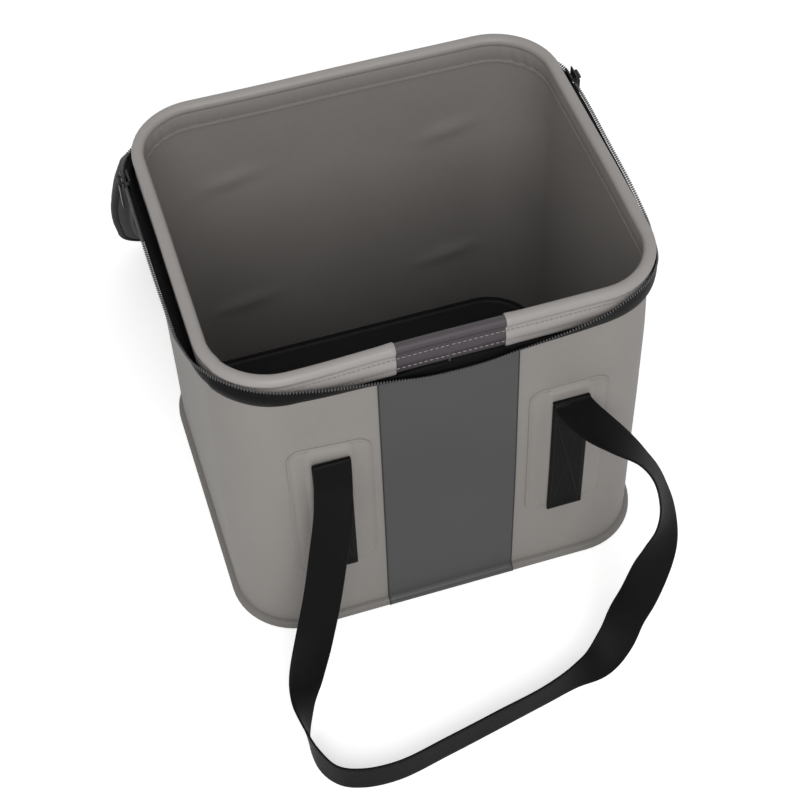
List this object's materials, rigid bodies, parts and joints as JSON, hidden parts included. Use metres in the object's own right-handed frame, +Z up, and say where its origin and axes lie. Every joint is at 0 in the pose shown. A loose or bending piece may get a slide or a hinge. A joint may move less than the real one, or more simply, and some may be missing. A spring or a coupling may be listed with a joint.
{
  "type": "welded fishing bag",
  "caption": "Open-top welded bag with a stiff rolled rim, a dark front stripe, webbing carry handles and a zipped lid that hangs open behind it.",
  "frame": {"origin": "middle of the base's underside, on the floor", "axes": "+X to the bag's right as seen from the front, +Y to the back, +Z up"},
  "size_m": [0.334, 0.5717, 0.2812],
  "materials": {
    "coated_sheet_grey": "welded coated sheet, satin, fine grain",
    "rim_grey": "soft satin coated sheet, stitched",
    "rim_patch_dark": "darker coated sheet, stitched",
    "stripe_dark_grey": "darker coated sheet, satin",
    "welt_grey": "welded lip, satin",
    "base_black": "moulded base, matte",
    "rod_plastic": "extruded rod, hidden",
    "zip_tape_black": "woven zip tape",
    "zip_teeth_black": "moulded coil teeth",
    "webbing_black": "woven webbing with a soft sheen",
    "lid_black": "moulded foam sheet, matte",
    "binding_black": "woven binding tape",
    "lining_grey": "coated sheet, satin",
    "slider_metal": "black painted die casting",
    "puller_metal": "black painted die casting"
  },
  "bodies": {
    "bag": {"base_tray": "base_black", "base_welt": "welt_grey", "wall_shell": "coated_sheet_grey", "stripe_panel": "stripe_dark_grey", "rim_rod": "rod_plastic", "rim_cover": "rim_grey", "rim_joint_patch": "rim_patch_dark", "lower_zip_tape": "zip_tape_black", "lower_zip_coil": "zip_teeth_black", "handle_patch_front_left": "coated_sheet_grey", "handle_patch_front_right": "coated_sheet_grey", "handle_patch_back_left": "coated_sheet_grey", "handle_patch_back_right": "coated_sheet_grey", "handle_pad_front_left": "coated_sheet_grey", "handle_pad_front_right": "coated_sheet_grey", "handle_pad_back_left": "coated_sheet_grey", "handle_pad_back_right": "coated_sheet_grey", "webbing_tail_front_left": "webbing_black", "webbing_tail_front_right": "webbing_black", "webbing_tail_back_left": "webbing_black", "webbing_tail_back_right": "webbing_black"},
    "hinge_flap": {"hinge_strip": "lid_black"},
    "lid": {"lid_lining": "lining_grey", "lid_panel": "lid_black", "lid_binding": "binding_black", "upper_zip_tape": "zip_tape_black", "upper_zip_coil": "zip_teeth_black"},
    "front_handle": {"front_handle_webbing": "webbing_black"},
    "back_handle": {"back_handle_webbing": "webbing_black"},
    "left_slider": {"zip_slider_left": "slider_metal"},
    "right_slider": {"zip_slider_right": "slider_metal"},
    "left_puller": {"zip_puller_left": "puller_metal"},
    "right_puller": {"zip_puller_right": "puller_metal"}
  },
  "joints": [
    {"name": "lid_hinge", "type": "hinge", "parent": "bag", "child": "hinge_flap", "pos_m": [0, 0.1333, 0.2585], "axis": [1, 0, 0], "range_deg": [0, 139.9]},
    {"name": "lid_fold", "type": "hinge", "parent": "hinge_flap", "child": "lid", "pos_m": [0, 0.1457, 0.23795], "axis": [1, 0, 0], "range_deg": [0, 99]},
    {"name": "front_handle_swing", "type": "hinge", "parent": "bag", "child": "front_handle", "pos_m": [0, -0.1353, 0.186], "axis": [-1, 0, 0], "range_deg": [0, 95]},
    {"name": "back_handle_swing", "type": "hinge", "parent": "bag", "child": "back_handle", "pos_m": [0, 0.1353, 0.186], "axis": [1, 0, 0], "range_deg": [0, 150]},
    {"name": "left_slider_slide", "type": "slide", "parent": "bag", "child": "left_slider", "axis": [0, -1, 0], "range_m": [0, 0.155]},
    {"name": "right_slider_slide", "type": "slide", "parent": "bag", "child": "right_slider", "axis": [0, -1, 0], "range_m": [0, 0.155]},
    {"name": "left_puller_swing", "type": "hinge", "parent": "left_slider", "child": "left_puller", "pos_m": [-0.1655, 0.08, 0.269], "axis": [0, 1, 0], "range_deg": [0, 160]},
    {"name": "right_puller_swing", "type": "hinge", "parent": "right_slider", "child": "right_puller", "pos_m": [0.1655, 0.08, 0.269], "axis": [0, -1, 0], "range_deg": [0, 160]}
  ],
  "couplings": [
    {"joint": "lid_fold", "follows": "lid_hinge", "ratio": 0.70764},
    {"joint": "back_handle_swing", "follows": "lid_hinge", "ratio": 1.0722}
  ]
}
